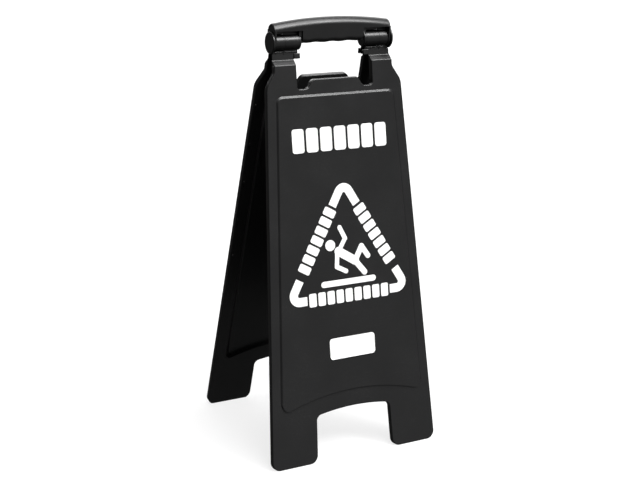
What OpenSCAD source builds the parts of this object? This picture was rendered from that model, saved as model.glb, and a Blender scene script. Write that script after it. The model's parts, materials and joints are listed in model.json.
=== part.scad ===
// Folding A-frame floor sign: two identical panels hinged to an arched carrying handle.
// Frame: X runs along the hinge, Y from the front panel to the rear one, Z up.
// The origin is on the floor, midway between the feet of the two panels.

/* [Stance] */
// Slant length of a panel, from the level of the hinge axis to the sole
slant = 622.7; // [600:1:680]
// Lean of each panel from the vertical when the sign stands open, in degrees
lean = 11.1; // [9:0.1:13]

/* [Panel] */
// Width across the feet
sign_w = 279.4; // [270:0.1:300]
// Loss of half-width for each millimetre up the slant
taper = 0.0528; // [0.045:0.0001:0.058]
// Thickness of the border and the legs
border_t = 9; // [8:0.1:9.4]
// Distance of the hinge axis behind the outer face of the border
face_d = 10.3; // [10:0.1:12]
// Width of the border beside the raised field
border_w = 14; // [12:0.5:18]
// How far the raised field stands out of the border
field_rise = 1.8; // [1:0.1:2.5]
// Thickness of the skin in the raised field
skin_t = 2.8; // [2.2:0.1:4]
// Height of the top edge of the raised field
field_top = 546.5; // [535:0.5:549]
// Height of the crown of the raised field's arched bottom edge
field_bottom = 108.5; // [95:0.5:112]
// Radius of the field's arched bottom edge
field_bottom_r = 350; // [320:1:400]

/* [Leg opening] */
// Width of the opening between the feet, at the sole
leg_gap = 129.5; // [116:0.5:132]
// Height of the crown of the opening
leg_arch = 77.5; // [66:0.5:84]
// Radius of the arched top of the opening
leg_arch_r = 326; // [320:1:400]
// Radius of the upper corners of the opening
leg_corner_r = 9; // [6:1:12]
// Loss of the opening's half-width for each millimetre up the slant
leg_taper = 0.04; // [0:0.005:0.05]
// Radius of the corners of the feet
foot_r = 13; // [2:1:14]

/* [Shoulders and necks] */
// Height at which the side edge turns into the shoulder
shoulder_s = 553; // [550:0.5:556]
// Half-width over the necks
neck_out = 96.5; // [95:0.1:96.5]
// Half-width between the necks
neck_in = 61.5; // [58:0.5:64]
// Height of the top of a neck's outer face
neck_top = 589; // [587:0.5:590]
// Height of the hand tongue between the necks
tongue_s = 568.2; // [568:0.1:573]
// Height of the scoop on each side of the tongue
scoop_s = 554.7; // [553:0.1:557]

/* [Hinge] */
// Radius of the hinge pin
pin_r = 7; // [5:0.1:8]
// Running clearance of a knuckle on its pin
pin_gap = 0.08; // [0.03:0.01:0.1]
// Outer radius of the knuckles
knuckle_r = 11.8; // [11:0.1:12.2]
// Gap between the two knuckles at one end
knuckle_gap = 0.4; // [0.3:0.1:0.8]
// Distance from the middle to the inner end of the knuckles
knuckles_in = 54.9; // [54.9:0.1:57]
// Distance from the middle to the gap between the inner and the outer knuckle
knuckle_split = 77; // [66:0.5:82]
// Distance from the middle to the outer end of the knuckles
knuckles_out = 91; // [88:0.1:91]
// Radius of a pin's disc head
head_r = 15.8; // [14.5:0.1:15.8]
// Thickness of a pin's disc head
head_t = 2.7; // [2:0.1:4]

/* [Handle] */
// Distance from the middle to the handle's end faces
handle_half = 94.3; // [94:0.1:96]
// Depth of the handle, front to back
handle_depth = 23; // [20:0.5:26]
// Height of the crown of the handle above the hinge axis
handle_crown = 34.2; // [31:0.1:40]
// Drop of the handle's top from the crown to the ends
handle_drop = 7; // [4:0.5:9]
// Distance from the middle to the end of the hand grip
grip_half = 49.5; // [44:0.5:49.5]
// Pitch of the finger waves under the grip
finger_pitch = 26.6; // [22:0.1:30]
// Depth of the finger waves
finger_wave = 0.9; // [0.5:0.1:2]

/* [Printing] */
// Thickness of the white print
print_t = 0.12; // [0.1:0.01:0.3]
// Height of the middle of the heading row
heading_s = 481; // [470:1:500]
// Height of the middle of the base stroke of the warning triangle
triangle_s = 247; // [230:1:260]
// Side of the warning triangle, between the centres of its rounded corners
triangle_side = 163.5; // [150:0.5:170]
// Width of the triangle's stroke
stroke_w = 13.2; // [10:0.1:16]
// Height of the middle of the small blank label
label_s = 169; // [150:1:190]

/* [Hidden] */
$fn = 64;
eps = 0.02;
plastic = [0.13, 0.13, 0.135];
pin_plastic = [0.16, 0.16, 0.165];
white = [0.93, 0.93, 0.92];

hinge_z = slant * cos(lean) - face_d * sin(lean);
outer_y = -face_d;
inner_y = border_t - face_d;
field_y = outer_y - field_rise;

// Web and skirt that carry the knuckles above a neck
web_front = -3;
web_back = 1;
skirt_back = -1.4;
skirt_top = -13.3;
skirt_half = 95.3;
notch_half = 93.9;
notch_z = -16.4;
ramp_top = neck_top - slant + face_d + web_front;
head_tab_in = 51.5;
head_tab_z = -24.5;
head_tab_y = -4.6;
seam_front = -2.6;
seam_top = -12.4;

// Pocket of the handle over the knuckles
ceiling_z = 16.3;
cheek_t = 3;
cheek_r = 13;
lug_in = 51.2;
lug_out = 54.5;
lug_r = 11.7;
lug_web_half = 9;
lug_web_low = -1;
head_gap = 0.4;
pin_tip = 52.3;
pin_fit = 0.03;
stop_w = 2.2;
stop_z = 12.15;
stop_gap = 0.3;
stop_tip = 13.2;
stop_inset = 0.6;
lip_h = 1.1;
lip_rise = 1.2;
lip_break = 2;

// Bumps on the rims that keep the folded panels apart
bump_r = 2;
bump_h = 0.85;
bump_inset = 4;
bump_first = 279;
bump_pitch = 62;
bump_count = 5;

function half_w(s) = sign_w / 2 - taper * s;
function arc(cx, cy, r, a0, a1, n = 8) =
    [for (i = [0:n]) [cx + r * cos(a0 + (a1 - a0) * i / n), cy + r * sin(a0 + (a1 - a0) * i / n)]];
function mirrored(points) = [for (i = [len(points) - 1:-1:0]) [-points[i][0], points[i][1]]];
function both_sides(points) = concat(points, mirrored(points));

// Outline of a panel: from the crown of the leg opening down to the foot, up the side,
// over the shoulder and the neck, and down through the scoop to the tongue
leg_a = atan(leg_taper);
leg_side = leg_gap / 2 - leg_taper * (leg_arch - 1.5 * leg_corner_r) - leg_corner_r / cos(leg_a);
leg_turn = asin(leg_side / (leg_arch_r - leg_corner_r));
leg_corner_y = leg_arch - leg_arch_r + (leg_arch_r - leg_corner_r) * cos(leg_turn);
foot_drop = 0.3;
foot_y = foot_r - foot_drop;
edge_a = atan(taper);
foot_in_x = leg_gap / 2 - leg_taper * foot_y + foot_r / cos(leg_a);
foot_out_x = half_w(foot_y) - foot_r / cos(edge_a);
shoulder_r = 24;
shoulder_turn = 30;
waist_r = 10;
scoop_r = 8;
scoop_turn = 60;
scoop_x = 49.5;
shoulder_x = half_w(shoulder_s) - shoulder_r * cos(edge_a);
shoulder_y = shoulder_s - shoulder_r * sin(edge_a);
waist_a = edge_a + shoulder_turn;
waist_x = neck_out + waist_r;
slope_x0 = shoulder_x + shoulder_r * cos(waist_a);
slope_y0 = shoulder_y + shoulder_r * sin(waist_a);
slope_run = slope_x0 - (waist_x - waist_r * cos(waist_a));
waist_y = slope_y0 + slope_run / tan(waist_a) + waist_r * sin(waist_a);
tongue_run = (tongue_s - scoop_s - 2 * scoop_r * (1 - cos(scoop_turn))) / sin(scoop_turn);
tongue_x = scoop_x - 2 * scoop_r * sin(scoop_turn) - tongue_run * cos(scoop_turn);
neck_corner_r = 4;

panel_outline = both_sides(concat(
    arc(0, leg_arch - leg_arch_r, leg_arch_r, 89, 90 - leg_turn, 6),
    arc(leg_side, leg_corner_y, leg_corner_r, 90 - leg_turn, leg_a, 6),
    arc(foot_in_x, foot_y, foot_r, 180 + leg_a, 270, 6),
    arc(foot_out_x, foot_y, foot_r, 270, 360 + edge_a, 6),
    arc(shoulder_x, shoulder_y, shoulder_r, edge_a, waist_a, 6),
    arc(waist_x, waist_y, waist_r, 180 + waist_a, 180, 4),
    [[neck_out, neck_top], [neck_in, neck_top]],
    arc(neck_in - neck_corner_r, scoop_s + neck_corner_r, neck_corner_r, 0, -90, 6),
    arc(scoop_x, scoop_s + scoop_r, scoop_r, 270, 270 - scoop_turn, 6),
    arc(tongue_x, tongue_s - scoop_r, scoop_r, 90 - scoop_turn, 90, 6)
));

// Outline of the raised field, or of the hollow behind it when inset
field_corner_r = 10;
function field_side(s, inset) = half_w(s) - border_w - inset;
function field_outline(inset) =
    let (r = field_corner_r - inset / 2,
         big = field_bottom_r - inset,
         top = field_top - inset,
         cy = field_bottom - field_bottom_r,
         cx = field_side(field_bottom - 9, inset) - r,
         turn = asin(cx / (big + r)),
         low = cy + (big + r) * cos(turn))
    both_sides(concat(
        arc(0, cy, big, 89, 90 - turn, 8),
        arc(cx, low, r, 270 - turn, 360 + edge_a, 6),
        arc(field_side(top - r, inset) - r, top - r, r, edge_a, 90, 6)
    ));

// Extrudes a drawing of (across, up the slant) into a slab between two depths
module slab(y_out, y_in) {
    translate([0, y_in, -slant])
        rotate([90, 0, 0])
            linear_extrude(y_in - y_out)
                children();
}

// A box given by its lowest and highest corners
module block(low, high) {
    translate(low)
        cube(high - low);
}

// A cylinder along X
module rod(x0, x1, r) {
    translate([x0, 0, 0])
        rotate([0, 90, 0])
            cylinder(h = x1 - x0, r = r);
}

// The part of a neck above its outer face: a ramp set back to a thin skirt, which is cut
// back at its outer corner to clear the pin head, a tab at its inner end, and a low rib
// that closes the seam under the knuckles
module neck_head() {
    for (side = [-1, 1]) {
        translate([side * (neck_in + skirt_half) / 2 - (skirt_half - neck_in) / 2, 0, 0])
            rotate([90, 0, 90])
                linear_extrude(skirt_half - neck_in)
                    polygon([[outer_y, neck_top - slant - 1], [outer_y, neck_top - slant],
                             [web_front, ramp_top], [web_front, notch_z],
                             [skirt_back, notch_z], [skirt_back, neck_top - slant - 1]]);
        block([side > 0 ? head_tab_in : -notch_half, web_front, notch_z - 1],
              [side > 0 ? notch_half : -head_tab_in, skirt_back, skirt_top]);
        block([side > 0 ? head_tab_in : -neck_in - 1, head_tab_y, head_tab_z],
              [side > 0 ? neck_in + 1 : -head_tab_in, skirt_back, skirt_top]);
        block([side > 0 ? knuckles_in + 1 : 1 - knuckles_out, seam_front, skirt_top - 1],
              [side > 0 ? knuckles_out - 1 : -knuckles_in - 1, skirt_back, seam_top]);
    }
}

// One knuckle with its web and the rib that meets the handle's stop
module knuckle(x0, x1) {
    rod(x0, x1, knuckle_r);
    block([x0, web_front, head_tab_z], [x1, web_back, -knuckle_r / 2]);
    rotate([lean, 0, 0])
        block([x0 + stop_inset, -stop_w - stop_w / 2 - stop_gap, knuckle_r / 2],
              [x1 - stop_inset, -stop_w / 2 - stop_gap, stop_tip]);
}

// A panel's two knuckles: the inner one at its left end and the outer one at its right end.
// The other panel is the same moulding turned round, so its knuckles fill the other places.
module knuckle_pair() {
    knuckle(-knuckle_split + knuckle_gap / 2, -knuckles_in);
    knuckle(knuckle_split + knuckle_gap / 2, knuckles_out);
}

// A small lip along the top of the skirt, broken where the knuckles change over
module skirt_lip() {
    for (side = [-1, 1])
        for (run = [[knuckles_in, knuckle_split - lip_break], [knuckle_split + lip_break, knuckles_out]])
            block([side > 0 ? run[0] : -run[1], web_front - lip_rise, skirt_top - lip_h],
                  [side > 0 ? run[1] : -run[0], web_front + eps, skirt_top]);
}

// A panel hanging straight down from the hinge axis at the origin, outer face towards -Y
module hanging_panel() {
    difference() {
        union() {
            slab(outer_y, inner_y)
                polygon(panel_outline);
            slab(field_y, outer_y + eps)
                polygon(field_outline(0));
            neck_head();
            skirt_lip();
            knuckle_pair();
            for (side = [-1, 1])
                for (i = [0:bump_count - 1])
                    translate([side * (half_w(bump_first + i * bump_pitch) - bump_inset), inner_y - 1,
                               bump_first + i * bump_pitch - slant])
                        rotate([-90, 0, 0])
                            cylinder(h = bump_h + 1, r = bump_r);
        }
        slab(field_y + skin_t, inner_y + 1)
            polygon(field_outline(5));
        for (side = [-1, 1])
            rod(side > 0 ? knuckles_in - 1 : -knuckles_out - 1,
                side > 0 ? knuckles_out + 1 : -knuckles_in + 1, pin_r + pin_gap);
        rotate([lean, 0, 0])
            block([-sign_w, -sign_w, -hinge_z - 60], [sign_w, sign_w, -hinge_z]);
    }
}

// Leans a hanging part into the standing pose
module standing() {
    translate([0, 0, hinge_z])
        rotate([-lean, 0, 0])
            children();
}

module front_panel() {
    color(plastic)
        standing()
            hanging_panel();
}

module rear_panel() {
    color(plastic)
        rotate([0, 0, 180])
            standing()
                hanging_panel();
}

// Side view of the handle: arched top, finger waves under the grip, a pocket at each end
handle_top_r = (pow(handle_half, 2) + pow(handle_drop, 2)) / (2 * handle_drop);
handle_top_a = asin(handle_half / handle_top_r);
grip_z = -1.6;
wave_steps = 40;
handle_profile = concat(
    arc(0, handle_crown - handle_top_r, handle_top_r, 90 - handle_top_a, 90 + handle_top_a, 24),
    [[-handle_half, ceiling_z], [-grip_half, ceiling_z]],
    [for (i = [0:wave_steps])
        let (x = -grip_half + 2 * grip_half * i / wave_steps)
        [x, grip_z + finger_wave / 2 * cos(360 * x / finger_pitch)]],
    [[grip_half, ceiling_z], [handle_half, ceiling_z]]
);

// The plate at an end of the handle that carries the outer end of a pin
module cheek(x) {
    rod(x, x + cheek_t, cheek_r);
    block([x, -cheek_r, 0], [x + cheek_t, cheek_r, ceiling_z + 1]);
}

module handle() {
    color(plastic)
        translate([0, 0, hinge_z])
            difference() {
                union() {
                    translate([0, handle_depth / 2, 0])
                        rotate([90, 0, 0])
                            linear_extrude(handle_depth)
                                polygon(handle_profile);
                    for (side = [-1, 1]) {
                        rod(side > 0 ? lug_in : -lug_out, side > 0 ? lug_out : -lug_in, lug_r);
                        block([side > 0 ? grip_half - 1 : -lug_out, -lug_web_half, lug_web_low],
                              [side > 0 ? lug_out : 1 - grip_half, lug_web_half, ceiling_z + 1]);
                        cheek(side > 0 ? handle_half - cheek_t : -handle_half);
                        block([side > 0 ? lug_out - 1 : -handle_half + cheek_t - 1, -stop_w / 2, stop_z],
                              [side > 0 ? handle_half - cheek_t + 1 : -lug_out + 1, stop_w / 2, ceiling_z + 1]);
                    }
                }
                for (side = [-1, 1])
                    rod(side > 0 ? pin_tip - 0.5 : -handle_half - 1,
                        side > 0 ? handle_half + 1 : -pin_tip + 0.5, pin_r + pin_fit);
            }
}

// A moulded pin: disc head outside the cheek, hollow shaft through the knuckles to the lug
module hinge_pin() {
    head_x = handle_half + head_gap;
    chamfer = 0.8;
    core_r = pin_r - 2.5;
    difference() {
        union() {
            rotate([0, 90, 0])
                rotate_extrude()
                    polygon([[0, head_x], [head_r - chamfer / 2, head_x], [head_r, head_x + chamfer / 2],
                             [head_r, head_x + head_t - chamfer], [head_r - chamfer, head_x + head_t],
                             [0, head_x + head_t]]);
            rod(pin_tip, head_x + 1, pin_r);
        }
        rod(pin_tip - 1, handle_half - 4, core_r);
    }
}

module right_hinge_pin() {
    color(pin_plastic)
        translate([0, 0, hinge_z])
            hinge_pin();
}

module left_hinge_pin() {
    color(pin_plastic)
        translate([0, 0, hinge_z])
            rotate([0, 0, 180])
                hinge_pin();
}

// A film of print on the raised field
module film() {
    slab(field_y - print_t, field_y)
        children();
}

// A plain block with round corners, centred
module round_block(w, h, r) {
    translate([-w / 2 + r, -h / 2])
        square([w - 2 * r, h]);
    translate([-w / 2, -h / 2 + r])
        square([w, h - 2 * r]);
    for (x = [-1, 1])
        for (y = [-1, 1])
            translate([x * (w / 2 - r), y * (h / 2 - r)])
                circle(r = r, $fn = 24);
}

// A row of plain blocks in place of words
module block_row(count, length, w, h, r) {
    pitch = (length - w) / (count - 1);
    for (i = [0:count - 1])
        translate([-length / 2 + w / 2 + i * pitch, 0])
            round_block(w, h, r);
}

// A straight stroke with round ends between two points
module stroke(a, b, w) {
    d = b - a;
    translate(a)
        rotate(atan2(d[1], d[0]))
            union() {
                translate([0, -w / 2])
                    square([norm(d), w]);
                circle(d = w, $fn = 24);
                translate([norm(d), 0])
                    circle(d = w, $fn = 24);
            }
}

// Rounded corner of the warning triangle, pointing up, with its centre at the origin
turn_r = 9.5;
function leg_end(side, r, leg) = [side * (r * cos(30) + leg * sin(30)), r * sin(30) - leg * cos(30)];
module triangle_corner(left_leg, right_leg) {
    outer_r = turn_r + stroke_w / 2;
    inner_r = turn_r - stroke_w / 2;
    polygon(concat(
        [leg_end(1, outer_r, right_leg)],
        arc(0, 0, outer_r, 30, 150, 20),
        [leg_end(-1, outer_r, left_leg), leg_end(-1, inner_r, left_leg)],
        arc(0, 0, inner_r, 150, 30, 10),
        [leg_end(1, inner_r, right_leg)]
    ));
}

// Warning triangle: three rounded corners, with rows of plain blocks between them
triangle_h = triangle_side * sqrt(3) / 2;
top_leg = 24;
side_leg = 20;
base_leg = 12;
side_rows = 103;
base_rows = 133;
block_w = 12;
block_h = 20;
module warning_triangle() {
    translate([0, triangle_h])
        triangle_corner(top_leg, top_leg);
    translate([-triangle_side / 2, 0])
        rotate(120)
            triangle_corner(base_leg, side_leg);
    translate([triangle_side / 2, 0])
        rotate(-120)
            triangle_corner(side_leg, base_leg);
    translate([0, -turn_r])
        block_row(9, base_rows, block_w, block_h, 2.5);
    for (side = [-1, 1])
        translate([side * triangle_side / 4, triangle_h / 2])
            rotate(-side * 60)
                translate([side * (side_leg - top_leg) / 2, turn_r])
                    block_row(7, side_rows, block_w, block_h, 2.5);
}

// Plain figure of a person losing their footing, over a floor line
module slipping_figure() {
    head = [-27, 68];
    neck = [-14, 58];
    hip = [13, 41];
    translate(head)
        circle(r = 8.2);
    stroke(neck, hip, 13);
    stroke(neck + [-2, -1], [-18, 35], 7);
    stroke([-18, 35], [-3, 27], 7);
    stroke(neck + [1, 1], [-2, 76], 7);
    stroke([-2, 76], [-10, 93], 7);
    stroke(hip, [25, 61], 9);
    stroke([25, 61], [35, 46], 8.4);
    stroke(hip, [28, 22], 9);
    stroke([-41, 11], [42, 11], 9);
}

module heading_print() {
    film()
        translate([1, heading_s])
            block_row(7, 155, 19, 35, 4);
}

module warning_print() {
    film()
        translate([2, triangle_s + turn_r]) {
            warning_triangle();
            slipping_figure();
        }
}

module label_print() {
    film()
        translate([3, label_s])
            round_block(76, 32, 5);
}

module front_heading_print() {
    color(white)
        standing()
            heading_print();
}

module front_warning_print() {
    color(white)
        standing()
            warning_print();
}

module front_label_print() {
    color(white)
        standing()
            label_print();
}

module rear_heading_print() {
    color(white)
        rotate([0, 0, 180])
            standing()
                heading_print();
}

module rear_warning_print() {
    color(white)
        rotate([0, 0, 180])
            standing()
                warning_print();
}

module rear_label_print() {
    color(white)
        rotate([0, 0, 180])
            standing()
                label_print();
}

front_panel();
rear_panel();
handle();
left_hinge_pin();
right_hinge_pin();
front_heading_print();
front_warning_print();
front_label_print();
rear_heading_print();
rear_warning_print();
rear_label_print();
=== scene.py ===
import json
import math

import bmesh
import bpy
from mathutils import Matrix, Vector
from mathutils.geometry import tessellate_polygon


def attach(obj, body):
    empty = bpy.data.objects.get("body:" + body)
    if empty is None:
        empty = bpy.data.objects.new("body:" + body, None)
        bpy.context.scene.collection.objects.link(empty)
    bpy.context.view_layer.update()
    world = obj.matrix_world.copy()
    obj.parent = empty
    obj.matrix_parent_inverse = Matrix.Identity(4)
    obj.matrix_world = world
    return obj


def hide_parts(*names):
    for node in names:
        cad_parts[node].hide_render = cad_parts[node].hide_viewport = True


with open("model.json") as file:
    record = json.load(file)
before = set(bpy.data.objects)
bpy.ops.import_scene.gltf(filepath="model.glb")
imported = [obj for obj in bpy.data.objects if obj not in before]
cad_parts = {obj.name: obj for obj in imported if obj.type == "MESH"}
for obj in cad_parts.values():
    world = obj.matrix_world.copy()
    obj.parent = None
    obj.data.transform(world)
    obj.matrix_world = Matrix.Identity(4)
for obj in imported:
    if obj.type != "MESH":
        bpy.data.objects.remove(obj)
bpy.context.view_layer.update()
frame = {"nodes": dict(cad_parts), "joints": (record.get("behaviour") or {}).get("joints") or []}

# Shapes are drawn in millimetres and turned into metres when a mesh is made.
MM = 0.001

# The hinge axis and the lean of the panels come from the joint that folds the front panel.
fold = next(joint for joint in frame["joints"] if joint["name"] == "front_fold")
HINGE = Vector(fold["pos_m"])
LEAN = math.radians(max(fold["range_deg"]))

# A panel is drawn hanging straight down from the hinge axis at the origin, outer face to -Y:
# u runs across it, s runs up it from the sole, and y is the depth.
SLANT = 622.7
HALF_FOOT = 139.7
TAPER = 0.0528
OUTER_Y = -10.3
INNER_Y = -1.3
FIELD_Y = -12.1
POCKET_Y = -9.3

# Handle and hinge, measured from the hinge axis
KNUCKLE_R = 11.8
BORE_R = 7.1
SHAFT_R = 7.0
KNUCKLES_IN = 54.9
KNUCKLE_SPLIT = 77.0
KNUCKLES_OUT = 91.0
SKIRT_TOP = -13.3
SKIRT_Y = -3.0
HANDLE_HALF = 94.3
HANDLE_DEPTH = 23.0
HANDLE_CROWN = 34.2
HANDLE_DROP = 7.0
GRIP_HALF = 49.5
POCKET_CEILING = 16.3
CHEEK_T = 3.0
CHEEK_R = 13.0

# Faces that meet at less than the first angle are shaded as one smooth surface. Edges of a
# block that are sharper than the second are rounded.
CREASE_DEG = 32
SHARP_DEG = 30


# ---------------------------------------------------------------------------
# Drawing helpers
# ---------------------------------------------------------------------------

def sin(degrees):
    return math.sin(math.radians(degrees))


def cos(degrees):
    return math.cos(math.radians(degrees))


def arc(cx, cy, r, start, end, steps):
    """Points on a circle, with the angles in degrees."""
    angles = [start + (end - start) * i / steps for i in range(steps + 1)]
    return [(cx + r * cos(a), cy + r * sin(a)) for a in angles]


def full_circle(r, steps):
    """Points all the way round a circle about the origin, with none listed twice."""
    return arc(0, 0, r, 0, 360 - 360 / steps, steps - 1)


def span(side, near, far):
    """A run along X between two distances from the middle, on one side, lowest first."""
    return sorted((side * near, side * far))


def both_sides(points):
    """A closed outline from its right half, listed from the bottom middle to the top middle."""
    return points + [(-x, y) for x, y in reversed(points)]


class Shell:
    """A closed surface built from rings of points."""

    def __init__(self):
        self.points = []
        self.faces = []

    def ring(self, points):
        first = len(self.points)
        self.points.extend(points)
        return list(range(first, len(self.points)))

    def bridge(self, a, b, skip=()):
        count = len(a)
        for i in range(count):
            if i not in skip:
                j = (i + 1) % count
                self.faces.append((a[i], a[j], b[j], b[i]))

    def fill(self, *rings):
        """A flat face between the first ring and the ones inside it."""
        index = [i for ring in rings for i in ring]
        loops = [[Vector(self.points[i]) for i in ring] for ring in rings]
        self.faces.extend(tuple(index[i] for i in tri) for tri in tessellate_polygon(loops))

    def mesh(self, name):
        mesh = bpy.data.meshes.new(name)
        mesh.from_pydata([[c * MM for c in p] for p in self.points], [], self.faces)
        work = bmesh.new()
        work.from_mesh(mesh)
        bmesh.ops.remove_doubles(work, verts=work.verts, dist=1e-7)
        bmesh.ops.dissolve_degenerate(work, edges=work.edges, dist=1e-7)
        bmesh.ops.recalc_face_normals(work, faces=work.faces)
        work.to_mesh(mesh)
        work.free()
        return mesh

    def piece(self, name):
        piece = bpy.data.objects.new(name, self.mesh(name))
        bpy.context.scene.collection.objects.link(piece)
        return piece


def block(low, high, rounding=0.0, steps=2):
    """A box between two corners, with rounded edges, as an object."""
    x0, y0, z0 = low
    x1, y1, z1 = high
    shell = Shell()
    rings = []
    for z in (z0, z1):
        rings.append(shell.ring([(x0, y0, z), (x1, y0, z), (x1, y1, z), (x0, y1, z)]))
    shell.bridge(rings[0], rings[1])
    shell.fill(rings[0])
    shell.fill(rings[1])
    piece = shell.piece("block")
    if rounding:
        round_edges(piece, rounding, steps)
    return piece


def round_edges(piece, width, steps):
    """Rounds every sharp edge of a piece by a width."""
    work = bmesh.new()
    work.from_mesh(piece.data)
    sharp = [e for e in work.edges if e.is_manifold and e.calc_face_angle() > math.radians(SHARP_DEG)]
    bmesh.ops.bevel(work, geom=sharp, offset=width * MM, segments=steps, profile=0.5,
                    affect="EDGES", clamp_overlap=True)
    work.to_mesh(piece.data)
    work.free()


def turned(profile, steps=96):
    """A solid turned about the X axis from (x, radius) points. A radius of 0 closes an end."""
    shell = Shell()
    rings = []
    for x, r in profile:
        if r == 0:
            rings.append(shell.ring([(x, 0, 0)]))
        else:
            rings.append(shell.ring([(x, y, z) for y, z in full_circle(r, steps)]))
    closed = profile[0][1] != 0
    pairs = list(zip(rings, rings[1:]))
    if closed:
        pairs.append((rings[-1], rings[0]))
    for a, b in pairs:
        if len(a) == 1:
            shell.faces.extend((a[0], b[i], b[(i + 1) % steps]) for i in range(steps))
        elif len(b) == 1:
            shell.faces.extend((a[i], a[(i + 1) % steps], b[0]) for i in range(steps))
        else:
            shell.bridge(a, b)
    return shell.piece("turned")


def tube(x0, x1, outer, inner, edge):
    """A ring about the X axis with small rounds on its outer edges."""
    soft = 0.3 * edge
    return turned([(x0, inner), (x0, outer - edge), (x0 + soft, outer - soft), (x0 + edge, outer),
                   (x1 - edge, outer), (x1 - soft, outer - soft), (x1, outer - edge), (x1, inner)])


def cut(piece, tool, how):
    """Joins a tool to a piece or takes it away, and deletes the tool."""
    step = piece.modifiers.new("cut", "BOOLEAN")
    step.operation = how
    step.solver = "EXACT"
    step.object = tool
    graph = bpy.context.evaluated_depsgraph_get()
    mesh = bpy.data.meshes.new_from_object(piece.evaluated_get(graph))
    piece.modifiers.clear()
    piece.data = mesh
    bpy.data.objects.remove(tool)


def finish_surface(piece, name, material, place):
    """Smooth shading with crisp edges, a material, and the piece's place."""
    piece.name = name
    piece.data.name = name
    piece.data.transform(place)
    piece.data.materials.clear()
    piece.data.materials.append(material)
    work = bmesh.new()
    work.from_mesh(piece.data)
    bmesh.ops.remove_doubles(work, verts=work.verts, dist=2e-6)
    bmesh.ops.dissolve_degenerate(work, edges=work.edges, dist=2e-6)
    for face in work.faces:
        face.smooth = True
    for edge in work.edges:
        edge.smooth = not edge.is_manifold or edge.calc_face_angle() < math.radians(CREASE_DEG)
    work.to_mesh(piece.data)
    work.free()
    # drops the few broken faces that joining solids can leave
    piece.data.validate()
    normals = piece.modifiers.new("face_normals", "WEIGHTED_NORMAL")
    normals.keep_sharp = True


# ---------------------------------------------------------------------------
# Panel
# ---------------------------------------------------------------------------

LEG_HALF = 64.75
LEG_TAPER = 0.04
LEG_ARCH = 77.5
LEG_ARCH_R = 326.0
LEG_CORNER_R = 9.0
FOOT_R = 13.0
SHOULDER_S = 553.0
NECK_OUT = 96.5
NECK_IN = 61.5
NECK_TOP = 589.0
TONGUE_S = 568.2
SCOOP_S = 554.7
SCOOP_X = 49.5
SCOOP_R = 8.0
SCOOP_TURN = 60.0

EDGE_A = math.degrees(math.atan(TAPER))
LEG_A = math.degrees(math.atan(LEG_TAPER))
WAIST_A = EDGE_A + 30


def half_width(s):
    """Half the panel's width at a height up the slant."""
    return HALF_FOOT - TAPER * s


def sole(y):
    """Height up the slant where the floor cuts the legs, at a depth."""
    return (y - OUTER_Y) * math.tan(LEAN)


def panel_outline(inset, y):
    """The panel's outline, drawn in by inset, with its soles on the floor."""
    leg_x = LEG_HALF - LEG_TAPER * (LEG_ARCH - 1.5 * LEG_CORNER_R) - LEG_CORNER_R / cos(LEG_A)
    leg_turn = math.degrees(math.asin(leg_x / (LEG_ARCH_R - LEG_CORNER_R)))
    leg_y = LEG_ARCH - LEG_ARCH_R + (LEG_ARCH_R - LEG_CORNER_R) * cos(leg_turn)
    foot_in = LEG_HALF - LEG_TAPER * FOOT_R + FOOT_R / cos(LEG_A)
    foot_out = half_width(FOOT_R) - FOOT_R / cos(EDGE_A)
    shoulder_r, waist_r, neck_r = 24.0, 10.0, 4.0
    shoulder_x = half_width(SHOULDER_S) - shoulder_r * cos(EDGE_A)
    shoulder_y = SHOULDER_S - shoulder_r * sin(EDGE_A)
    slope_x = shoulder_x + shoulder_r * cos(WAIST_A)
    slope_y = shoulder_y + shoulder_r * sin(WAIST_A)
    waist_x = NECK_OUT + waist_r
    slope_run = slope_x - (waist_x - waist_r * cos(WAIST_A))
    waist_y = slope_y + slope_run / math.tan(math.radians(WAIST_A)) + waist_r * sin(WAIST_A)
    tongue_run = (TONGUE_S - SCOOP_S - 2 * SCOOP_R * (1 - cos(SCOOP_TURN))) / sin(SCOOP_TURN)
    tongue_x = SCOOP_X - 2 * SCOOP_R * sin(SCOOP_TURN) - tongue_run * cos(SCOOP_TURN)
    half = (
        arc(0, LEG_ARCH - LEG_ARCH_R, LEG_ARCH_R + inset, 89.5, 90 - leg_turn, 14)
        + arc(leg_x, leg_y, LEG_CORNER_R + inset, 90 - leg_turn, LEG_A, 10)
        + arc(foot_in, FOOT_R, FOOT_R - inset, 180 + LEG_A, 270, 10)
        + arc(foot_out, FOOT_R, FOOT_R - inset, 270, 360 + EDGE_A, 10)
        + arc(shoulder_x, shoulder_y, shoulder_r - inset, EDGE_A, WAIST_A, 10)
        + arc(waist_x, waist_y, waist_r + inset, 180 + WAIST_A, 180, 6)
        + [(NECK_OUT - inset, NECK_TOP), (NECK_IN + inset, NECK_TOP)]
        + arc(NECK_IN - neck_r, SCOOP_S + neck_r, neck_r + inset, 0, -90, 8)
        + arc(SCOOP_X, SCOOP_S + SCOOP_R, SCOOP_R + inset, 270, 270 - SCOOP_TURN, 8)
        + arc(tongue_x, TONGUE_S - SCOOP_R, SCOOP_R - inset, 90 - SCOOP_TURN, 90, 8)
    )
    return both_sides([(u, max(s, sole(y))) for u, s in half])


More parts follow.
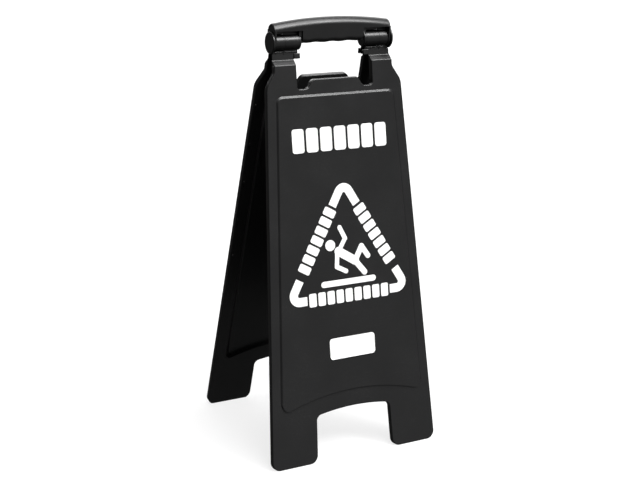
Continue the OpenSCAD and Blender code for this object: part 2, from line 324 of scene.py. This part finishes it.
def field_outline(inset):
    """The raised field's outline, or the pocket's behind it, drawn in by inset."""
    side, top, crown, crown_r = 14.0, 546.5, 108.5, 350.0
    corner = 10.0 - inset / 2
    lower_corner_s = crown - 9
    edge = half_width(lower_corner_s) - side - inset
    cx = edge - corner
    big = crown_r - inset
    turn = math.degrees(math.asin(cx / (big + corner)))
    low = crown - crown_r + (big + corner) * cos(turn)
    top_y = top - inset
    top_x = half_width(top_y - corner) - side - inset - corner
    return both_sides(
        arc(0, crown - crown_r, big, 89.5, 90 - turn, 16)
        + arc(cx, low, corner, 270 - turn, 360 + EDGE_A, 12)
        + arc(top_x, top_y - corner, corner, EDGE_A, 90, 10)
    )


def at_depth(points, y):
    """An outline of the panel as points of the hanging panel."""
    return [(u, y, s - SLANT) for u, s in points]


def fillet(r, y, turn_to, steps=4):
    """(inset, y) levels of a rounded edge between a face at y and a wall."""
    levels = []
    for i in range(steps + 1):
        a = 90 * i / steps
        levels.append((r * (1 - sin(a)), y + turn_to * r * (1 - cos(a))))
    return levels


def neck_sections():
    """How a neck goes on above its outer face: (z, front y, outer u, inner u) going up."""
    base_z = NECK_TOP - SLANT
    bend = 2.2
    turn_steps = 4
    sections = []
    for i in range(1, turn_steps + 1):
        a = 45 * i / turn_steps
        sections.append((base_z + bend * sin(a), OUTER_Y + bend * (1 - cos(a))))
    ramp_end_y = SKIRT_Y - bend * (1 - cos(45))
    z, y = sections[-1]
    z += ramp_end_y - y
    sections.append((z, ramp_end_y))
    for i in range(1, turn_steps + 1):
        a = 45 - 45 * i / turn_steps
        sections.append((z + bend * (sin(45) - sin(a)), SKIRT_Y - bend * (1 - cos(a))))
    rows = [(z, y, NECK_OUT - 0.4, NECK_IN) for z, y in sections]
    tab_low, tab_high, tab_in, tab_soft = -24.3, -17.0, 51.5, 0.7
    notch_low, wide, narrow, skirt_in, soft, step = -16.4, 95.3, 93.9, 55.6, 0.3, 0.01
    rows += [(z, SKIRT_Y, outer, inner) for z, outer, inner in (
        (tab_low, wide, NECK_IN),
        (tab_low + step, wide, tab_in + tab_soft),
        (tab_low + tab_soft, wide, tab_in),
        (tab_high - tab_soft, wide, tab_in),
        (tab_high, wide, tab_in + tab_soft),
        (tab_high + step, wide, skirt_in),
        (notch_low, wide, skirt_in),
        (notch_low + step, narrow, skirt_in),
        (SKIRT_TOP - soft, narrow, skirt_in),
    )]
    rows.append((SKIRT_TOP, SKIRT_Y + soft, narrow - soft, skirt_in + soft))
    return rows


def neck_corner():
    """Place in the panel's outline of the outer corner of the right neck's top."""
    return panel_outline(0, OUTER_Y).index((NECK_OUT, NECK_TOP))


def grow_neck(shell, levels, rings, side):
    """Carries the rounded section of a neck up over the ramp to the top of the skirt."""
    count = len(rings[0])
    out_i = neck_corner()
    in_i = out_i + 1
    if side < 0:
        out_i, in_i = count - 1 - out_i, count - 1 - in_i
    ring = [r[out_i] for r in rings] + [r[in_i] for r in reversed(rings)]
    thickness = INNER_Y - OUTER_Y
    skirt_back = -1.4
    for z, front, outer, inner in neck_sections():
        scale = (skirt_back - front) / thickness
        edge = [(inset * scale, skirt_back + (y - INNER_Y) * scale) for inset, y in levels]
        points = [(side * (outer - inset), y, z) for inset, y in edge]
        points += [(side * (inner + inset), y, z) for inset, y in reversed(edge)]
        above = shell.ring(points)
        shell.bridge(ring, above)
        ring = above
    shell.fill(ring)


def add_step(shell, rim, from_y, to_y, slope):
    """Steps the field's outline in or out of a face, along a slope of (inset, share of the step)."""
    rings = []
    for inset, share in slope:
        rings.append(shell.ring(at_depth(field_outline(inset), from_y + (to_y - from_y) * share)))
    shell.fill(rim, rings[0])
    for a, b in zip(rings, rings[1:]):
        shell.bridge(a, b)
    shell.fill(rings[-1])


def panel_board():
    """The whole board with its raised field, the pocket behind it and its two necks."""
    shell = Shell()
    front_r, back_r = 1.5, 1.0
    levels = fillet(front_r, OUTER_Y, 1) + list(reversed(fillet(back_r, INNER_Y, -1)))
    rings = [shell.ring(at_depth(panel_outline(inset, y), y)) for inset, y in levels]
    count = len(rings[0])
    neck = neck_corner()
    tops = (neck, count - 2 - neck)
    for a, b in zip(rings, rings[1:]):
        shell.bridge(a, b, skip=tops)
    for side in (-1, 1):
        grow_neck(shell, levels, rings, side)

    # Raised field: a hollow curve at its foot, a slope, and a soft round onto the flat
    add_step(shell, rings[0], OUTER_Y, FIELD_Y, (
        (0, 0), (0.25, 0.03), (0.5, 0.1), (1.0, 0.27), (2.3, 0.75),
        (2.8, 0.88), (3.1, 0.94), (3.5, 0.98), (4.1, 1.0)))
    # Pocket in the inner face, with sloping walls
    add_step(shell, rings[-1], INNER_Y, POCKET_Y, (
        (4.4, 0), (4.8, 0.03), (5.2, 0.1), (10.4, 0.84), (11.0, 0.92), (11.9, 0.98), (13.0, 1.0)))
    return shell.piece("board")


def knuckle(x0, x1):
    """A knuckle with the web under it and the rib that meets the handle's stop."""
    gap, web_low, web_top, web_back = 0.1, -24.2, -6.2, 1.0
    stop_low, stop_high = (-3.6, 8.0), (-1.4, 13.2)
    ring = tube(x0, x1, KNUCKLE_R, BORE_R - 1, 0.15)
    web = block((x0 + gap, SKIRT_Y + 0.02, web_low), (x1 - gap, web_back, web_top), 0.2)
    stop = block((x0 + gap, *stop_low), (x1 - gap, *stop_high), 0.3)
    stop.data.transform(Matrix.Rotation(LEAN, 4, "X"))
    return [ring, web, stop]


def neck_tab(side):
    """The tab beside a neck."""
    x0, x1 = span(side, 51.7, 61.3)
    return block((x0, -4.6, -24.1), (x1, -2.0, -16.5), 0.9, 3)


def seam_rib(side):
    """The low rib that closes the seam under the knuckles."""
    end_gap, front, back, top = 1.2, -2.6, -1.5, -12.4
    x0, x1 = span(side, KNUCKLES_IN + end_gap, KNUCKLES_OUT - end_gap)
    return block((x0, front, SKIRT_TOP - 1), (x1, back, top))


def skirt_lip(side):
    """The lip along the skirt's top, broken where the knuckles change over."""
    front, back, height, half_break = -4.2, -2.2, 1.1, 2.0
    parts = []
    for near, far in ((56.0, KNUCKLE_SPLIT - half_break), (KNUCKLE_SPLIT + half_break, 93.0)):
        x0, x1 = span(side, near, far)
        parts.append(block((x0, front, SKIRT_TOP - height), (x1, back, SKIRT_TOP - 0.05), 0.35, 2))
    return parts


def rim_studs(side):
    """Small round studs along a panel's inner rim."""
    count, first, pitch, from_edge, r, rise = 5, 279, 62, 4, 2.0, 0.85
    profile = [(-1, 0), (-1, r), (0.25, r), (0.6, r - 0.25), (0.8, r - 0.8), (rise, 0)]
    studs = []
    for i in range(count):
        s = first + pitch * i
        stud = turned([(INNER_Y + x, y) for x, y in profile], 24)
        place = Matrix.Translation(Vector((side * (half_width(s) - from_edge), 0, s - SLANT)) * MM)
        stud.data.transform(place @ Matrix.Rotation(math.radians(90), 4, "Z"))
        studs.append(stud)
    return studs


def hinge_parts():
    """Everything that is joined to the board at the hinge and along its rims."""
    parts = []
    for x0, x1 in ((-KNUCKLE_SPLIT + 0.1, -KNUCKLES_IN), (KNUCKLE_SPLIT + 0.1, KNUCKLES_OUT)):
        parts += knuckle(x0, x1)
    for side in (-1, 1):
        parts += [neck_tab(side), seam_rib(side)] + skirt_lip(side) + rim_studs(side)
    return parts


def skirt_notches():
    """Small dark slots moulded into the skirt under its lip."""
    small, wide = (1.2, -16.6), (2.6, -17.9)
    cuts = []
    for side in (-1, 1):
        for x, (width, low) in ((65.0, small), (KNUCKLE_SPLIT + 1.3, wide), (90.0, small)):
            x0, x1 = side * x - width / 2, side * x + width / 2
            cuts.append(block((x0, -6, low), (x1, -2.2, SKIRT_TOP - 1.0)))
    return cuts


def bore_tool(side, near, far, r):
    """A plain rod about the hinge axis, to take away."""
    x0, x1 = span(side, near, far)
    return turned([(x0, 0), (x0, r), (x1, r), (x1, 0)])


def hanging_panel():
    """One panel moulding, hanging straight down from the hinge axis."""
    panel = panel_board()
    for part in hinge_parts():
        cut(panel, part, "UNION")
    for tool in skirt_notches():
        cut(panel, tool, "DIFFERENCE")
    for side in (-1, 1):
        cut(panel, bore_tool(side, KNUCKLES_IN - 2, KNUCKLES_OUT + 2, BORE_R), "DIFFERENCE")
    return panel


# ---------------------------------------------------------------------------
# Handle
# ---------------------------------------------------------------------------

def handle_top(x):
    """Height of the handle's arched top."""
    r = (HANDLE_HALF ** 2 + HANDLE_DROP ** 2) / (2 * HANDLE_DROP)
    return HANDLE_CROWN - r + math.sqrt(r * r - x * x)


def grip_low(x):
    """Height of the underside of the grip, with its finger waves."""
    middle, swing, pitch = -1.6, 0.45, 26.6
    return middle + swing * math.cos(2 * math.pi * x / pitch)


def handle_section(x, low, low_r, inset):
    """A section across the handle: flat sides, a domed top and a rounded underside."""
    half = HANDLE_DEPTH / 2 - inset
    top = handle_top(min(abs(x), HANDLE_HALF)) - inset
    low = low + inset
    dome_h, flatness, steps = 9.8, 1.12, 9
    dome = min(dome_h - inset, top - low - low_r - 0.1)
    turns = [90 * i / steps for i in range(steps)]
    quarter = [(half * cos(a) ** flatness, top - dome + dome * sin(a) ** flatness) for a in turns]
    points = quarter + [(0, top)] + [(-y, z) for y, z in reversed(quarter)]
    points += arc(low_r - half, low + low_r, low_r, 180, 270, 8)
    points += arc(half - low_r, low + low_r, low_r, 270, 360, 8)
    return [(x, y, z) for y, z in points]


def handle_beam():
    """The arched beam with the grip hanging from its middle."""
    # stations along the right half, from its end to the middle: (x, underside, underside's round, inset)
    over_pocket = (POCKET_CEILING, 1.0)
    end_round = ((0, 1.2), (0.1, 0.75), (0.4, 0.35), (1.0, 0.0))
    stations = [(HANDLE_HALF - back, *over_pocket, inset) for back, inset in end_round]
    stations += [(HANDLE_HALF - 4 - i * 5, *over_pocket, 0.0) for i in range(9)]
    stations.append((GRIP_HALF + 0.01, *over_pocket, 0.0))
    grip_r, steps = 8.0, 36
    for back, rise, r in ((0, 1.2, 6.5), (0.3, 0.5, 7.2), (1.2, 0, grip_r)):
        stations.append((GRIP_HALF - back, grip_low(GRIP_HALF) + rise, r, 0.0))
    inner_end = stations[-1][0]
    for i in range(1, steps):
        x = inner_end * (1 - i / steps)
        stations.append((x, grip_low(x), grip_r, 0.0))
    right = stations + [(0.0, grip_low(0), grip_r, 0.0)]
    left = [(-x, low, r, inset) for x, low, r, inset in reversed(stations)]
    shell = Shell()
    rings = [shell.ring(handle_section(*station)) for station in right + left]
    for a, b in zip(rings, rings[1:]):
        shell.bridge(a, b)
    shell.fill(rings[0])
    shell.fill(rings[-1])
    return shell.piece("beam")


def cheek(x0, x1, r, edge):
    """The plate at an end of the handle that carries the outer end of a pin."""
    top, soft = POCKET_CEILING + 1.5, 0.3 * edge
    shell = Shell()
    rings = []
    for x, inset in ((x0, edge), (x0 + soft, soft), (x0 + edge, 0),
                     (x1 - edge, 0), (x1 - soft, soft), (x1, edge)):
        outline = arc(0, 0, r - inset, 180, 360, 32)
        outline += [(r - inset, top), (inset - r, top)]
        rings.append(shell.ring([(x, y, z) for y, z in outline]))
    for a, b in zip(rings, rings[1:]):
        shell.bridge(a, b)
    shell.fill(rings[0])
    shell.fill(rings[-1])
    return shell.piece("cheek")


def lug(side):
    """The round lug at an end of the grip that carries the inner end of a pin."""
    inner, outer, r, round_r, edge = 51.2, 54.7, 11.75, 1.5, 0.15
    profile = [(inner, 0)]
    profile += [(inner + round_r - x, r - round_r + y) for x, y in arc(0, 0, round_r, 0, 90, 5)]
    profile += [(outer - edge, r), (outer, r - edge), (outer, 0)]
    return turned([(side * x, y) for x, y in profile])


def lug_web(side):
    """The block between the grip and a lug."""
    half, low = 9.0, -1.0
    x0, x1 = span(side, GRIP_HALF - 2, 54.6)
    return block((x0, -half, low), (x1, half, POCKET_CEILING + 1))


def stop_rib(side):
    """The rib under the pocket's ceiling that stops the panels when they stand open."""
    half, low = 1.1, 12.15
    x0, x1 = span(side, 54, HANDLE_HALF - CHEEK_T + 1)
    return block((x0, -half, low), (x1, half, POCKET_CEILING + 1))


def carry_handle():
    """The handle with its lugs, cheeks and stop ribs, bored for the pins."""
    handle = handle_beam()
    for side in (-1, 1):
        cut(handle, lug_web(side), "UNION")
        cut(handle, lug(side), "UNION")
        x0, x1 = span(side, HANDLE_HALF - CHEEK_T, HANDLE_HALF)
        cut(handle, cheek(x0, x1, CHEEK_R, 0.5), "UNION")
        cut(handle, stop_rib(side), "UNION")
        cut(handle, bore_tool(side, 51.8, HANDLE_HALF + 2, SHAFT_R + 0.03), "DIFFERENCE")
    return handle


def hinge_pin():
    """A moulded pin with a chamfered disc head and a hollow shaft, at the right end."""
    head_x, head_r, head_t = HANDLE_HALF + 0.4, 15.8, 2.7
    tip, core_r, core_end = 52.3, 4.5, HANDLE_HALF - 4
    out = head_x + head_t
    shaft = [(core_end, 0), (core_end, core_r), (tip, core_r), (tip, SHAFT_R - 0.5), (tip + 0.5, SHAFT_R)]
    back_edge = [(head_x, SHAFT_R), (head_x, head_r - 0.5), (head_x + 0.15, head_r - 0.15),
                 (head_x + 0.5, head_r)]
    front_edge = [(out - back, head_r - inset) for back, inset in (
        (1.0, 0), (0.7, 0.1), (0.25, 0.55), (0.05, 0.95), (0, 1.4), (0.12, 3.2))]
    dished_face = [(out - 0.15, 5.0), (out - 0.15, 0)]
    return turned(shaft + back_edge + front_edge + dished_face, 128)


# ---------------------------------------------------------------------------
# Materials
# ---------------------------------------------------------------------------

def node_material(name):
    """A material with one principled shader, and its nodes to build on."""
    material = bpy.data.materials.new(name)
    material.use_nodes = True
    nodes = material.node_tree.nodes
    nodes.clear()
    output = nodes.new("ShaderNodeOutputMaterial")
    shader = nodes.new("ShaderNodeBsdfPrincipled")
    material.node_tree.links.new(shader.outputs["BSDF"], output.inputs["Surface"])
    return material, nodes, material.node_tree.links, shader


def noise(nodes, links, place, scale, detail=3.0, stretch=(1, 1, 1)):
    """A noise texture in the piece's own metres."""
    mapping = nodes.new("ShaderNodeMapping")
    mapping.inputs["Scale"].default_value = stretch
    links.new(place.outputs["Object"], mapping.inputs["Vector"])
    texture = nodes.new("ShaderNodeTexNoise")
    texture.inputs["Scale"].default_value = scale
    texture.inputs["Detail"].default_value = detail
    links.new(mapping.outputs["Vector"], texture.inputs["Vector"])
    return texture.outputs["Fac"]


def spread(nodes, links, value, low, high, to_low, to_high):
    """Maps a range of a value onto another."""
    node = nodes.new("ShaderNodeMapRange")
    node.inputs["From Min"].default_value = low
    node.inputs["From Max"].default_value = high
    node.inputs["To Min"].default_value = to_low
    node.inputs["To Max"].default_value = to_high
    links.new(value, node.inputs["Value"])
    return node.outputs["Result"]


def arithmetic(nodes, links, how, a, b):
    """One step of arithmetic on two values, each a number or a socket."""
    node = nodes.new("ShaderNodeMath")
    node.operation = how
    for socket, value in zip(node.inputs, (a, b)):
        if isinstance(value, float):
            socket.default_value = value
        else:
            links.new(value, socket)
    return node.outputs["Value"]


def mixed(nodes, links, factor, a, b):
    """A mix of two colours, each a colour or a socket."""
    node = nodes.new("ShaderNodeMix")
    node.data_type = "RGBA"
    links.new(factor, node.inputs["Factor"])
    for socket, value in ((node.inputs["A"], a), (node.inputs["B"], b)):
        if isinstance(value, tuple):
            socket.default_value = value
        else:
            links.new(value, socket)
    return node.outputs["Result"]


BLACK = (0.0075, 0.0075, 0.0077, 1)
DUST = (0.025, 0.025, 0.025, 1)


def black_plastic(name, roughness, grain):
    """Satin black plastic: fine moulded grain, cloudy gloss, faint rub marks and a little dust."""
    material, nodes, links, shader = node_material(name)
    place = nodes.new("ShaderNodeTexCoord")
    cloud = noise(nodes, links, place, 16, 4)
    speck = noise(nodes, links, place, 620, 2)
    rubs = noise(nodes, links, place, 60, 3, (1, 1, 14))
    rub_mask = spread(nodes, links, rubs, 0.62, 0.78, 0.0, 1.0)
    dust = arithmetic(nodes, links, "MULTIPLY", spread(nodes, links, cloud, 0.4, 0.8, 0.0, 0.5),
                      spread(nodes, links, speck, 0.5, 0.75, 0.0, 1.0))
    tone = mixed(nodes, links, dust, BLACK, DUST)
    tone = mixed(nodes, links, arithmetic(nodes, links, "MULTIPLY", rub_mask, 0.25), tone, DUST)
    links.new(tone, shader.inputs["Base Color"])
    gloss = spread(nodes, links, cloud, 0.3, 0.7, roughness - 0.04, roughness + 0.05)
    links.new(arithmetic(nodes, links, "ADD", gloss, arithmetic(nodes, links, "MULTIPLY", rub_mask, 0.05)),
              shader.inputs["Roughness"])
    shader.inputs["Specular IOR Level"].default_value = 0.36
    fine = noise(nodes, links, place, 1500, 2)
    height = arithmetic(nodes, links, "ADD", fine,
                        arithmetic(nodes, links, "MULTIPLY", noise(nodes, links, place, 480, 2), 0.8))
    bump = nodes.new("ShaderNodeBump")
    bump.inputs["Strength"].default_value = grain
    bump.inputs["Distance"].default_value = 0.00012
    links.new(height, bump.inputs["Height"])
    links.new(bump.outputs["Normal"], shader.inputs["Normal"])
    return material


def white_ink(name):
    """Screen-printed white ink: a little uneven, with a faint weave from the screen."""
    material, nodes, links, shader = node_material(name)
    place = nodes.new("ShaderNodeTexCoord")
    cloud = noise(nodes, links, place, 38, 4)
    speck = noise(nodes, links, place, 900, 2)
    tone = mixed(nodes, links, spread(nodes, links, cloud, 0.35, 0.7, 0.0, 1.0),
                 (0.87, 0.87, 0.865, 1), (0.80, 0.80, 0.79, 1))
    thin = spread(nodes, links, speck, 0.68, 0.8, 0.0, 0.35)
    links.new(mixed(nodes, links, thin, tone, (0.42, 0.42, 0.42, 1)), shader.inputs["Base Color"])
    links.new(spread(nodes, links, cloud, 0.3, 0.7, 0.46, 0.6), shader.inputs["Roughness"])
    bump = nodes.new("ShaderNodeBump")
    bump.inputs["Strength"].default_value = 0.25
    bump.inputs["Distance"].default_value = 0.00005
    links.new(speck, bump.inputs["Height"])
    links.new(bump.outputs["Normal"], shader.inputs["Normal"])
    return material


panel_plastic = black_plastic("panel_plastic", 0.34, 0.35)
handle_plastic = black_plastic("handle_plastic", 0.36, 0.3)
pin_plastic = black_plastic("pin_plastic", 0.36, 0.25)
print_ink = white_ink("white_print")


# ---------------------------------------------------------------------------
# Pieces
# ---------------------------------------------------------------------------

standing = Matrix.Translation(HINGE) @ Matrix.Rotation(-LEAN, 4, "X")
half_turn = Matrix.Rotation(math.pi, 4, "Z")
at_hinge = Matrix.Translation(HINGE)

front = hanging_panel()
rear = front.copy()
rear.data = front.data.copy()
bpy.context.scene.collection.objects.link(rear)
finish_surface(front, "front_panel_moulding", panel_plastic, standing)
finish_surface(rear, "rear_panel_moulding", panel_plastic, half_turn @ standing)
for piece, body, node in ((front, "front", "front_panel"), (rear, "rear", "rear_panel")):
    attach(piece, body)
    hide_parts(node)

handle = carry_handle()
finish_surface(handle, "carry_handle", handle_plastic, at_hinge)
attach(handle, "handle")
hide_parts("handle")

for side, turn in (("right", Matrix.Identity(4)), ("left", half_turn)):
    pin = hinge_pin()
    finish_surface(pin, side + "_pin", pin_plastic, at_hinge @ turn)
    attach(pin, "handle")
    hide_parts(side + "_hinge_pin")

for node, piece in frame["nodes"].items():
    if node.endswith("_print"):
        for material_slot in piece.material_slots:
            material_slot.material = print_ink


# ---------------------------------------------------------------------------
# Stage
# ---------------------------------------------------------------------------

def stage_floor():
    """A plain white floor that does not shine back onto the sign."""
    material, nodes, links, shader = node_material("floor")
    place = nodes.new("ShaderNodeTexCoord")
    cloud = noise(nodes, links, place, 0.8, 2)
    tone = mixed(nodes, links, cloud, (0.17, 0.17, 0.17, 1), (0.19, 0.19, 0.19, 1))
    links.new(tone, shader.inputs["Base Color"])
    shader.inputs["Roughness"].default_value = 0.9
    shader.inputs["Specular IOR Level"].default_value = 0.0
    shader.inputs["Emission Color"].default_value = (1, 1, 1, 1)
    shader.inputs["Emission Strength"].default_value = 0.8
    shell = Shell()
    shell.faces.append(tuple(shell.ring([(x, y, 0) for x, y in full_circle(30000, 64)])))
    floor = shell.piece("floor")
    floor.data.materials.append(material)
    floor.visible_diffuse = floor.visible_glossy = False


def backdrop():
    """A white wall far off, just inside the floor's edge, which lights nothing and throws no shadow."""
    material, nodes, links, shader = node_material("backdrop")
    shader.inputs["Base Color"].default_value = (0.2, 0.2, 0.2, 1)
    shader.inputs["Emission Color"].default_value = (1, 1, 1, 1)
    shader.inputs["Emission Strength"].default_value = 1.0
    radius, height = 29000, 40000
    shell = Shell()
    around = full_circle(radius, 64)
    shell.bridge(shell.ring([(x, y, 0) for x, y in around]), shell.ring([(x, y, height) for x, y in around]))
    wall = shell.piece("backdrop")
    wall.data.materials.append(material)
    wall.visible_diffuse = wall.visible_glossy = wall.visible_shadow = False


def soft_sun(name, azimuth, elevation, strength, spread_angle):
    """A far, wide light. The azimuth is where it stands, turned from -Y towards +X."""
    light = bpy.data.lights.new(name, "SUN")
    light.energy = strength
    light.angle = math.radians(spread_angle)
    lamp = bpy.data.objects.new(name, light)
    towards = Vector((sin(azimuth) * cos(elevation), -cos(azimuth) * cos(elevation), sin(elevation)))
    lamp.rotation_euler = towards.to_track_quat("Z", "Y").to_euler()
    bpy.context.scene.collection.objects.link(lamp)


def studio():
    """A wide light overhead, a narrower one for the sloped edges, a low one behind and a fill."""
    world = bpy.data.worlds.new("studio")
    bpy.context.scene.world = world
    world.use_nodes = True
    background = world.node_tree.nodes["Background"]
    background.inputs["Color"].default_value = (1, 1, 1, 1)
    background.inputs["Strength"].default_value = 0.085
    soft_sun("top_light", 32, 68, 5.4, 44)
    soft_sun("back_light", 155, 24, 2.0, 60)
    soft_sun("edge_light", 41, 46, 2.4, 18)
    soft_sun("front_light", 26, 10, 0.5, 90)


def camera():
    """The main view: from the left and a little above, with a long lens."""
    place = Vector((-0.84899, -1.59482, 0.89998))
    yaw, pitch, roll = 27.87, 18.29, 1.84
    forward = Vector((sin(yaw) * cos(pitch), cos(yaw) * cos(pitch), -sin(pitch)))
    right = Vector((cos(yaw), -sin(yaw), 0))
    up = right.cross(forward)
    side = right * cos(roll) + up * sin(roll)
    top = up * cos(roll) - right * sin(roll)
    view = bpy.data.cameras.new("camera")
    view.sensor_width = 36
    view.lens = 70.05
    eye = bpy.data.objects.new("camera", view)
    eye.matrix_world = Matrix((side, top, -forward)).transposed().to_4x4()
    eye.location = place
    bpy.context.scene.collection.objects.link(eye)
    bpy.context.scene.camera = eye


stage_floor()
backdrop()
studio()
camera()
bpy.context.scene.view_settings.view_transform = "Standard"
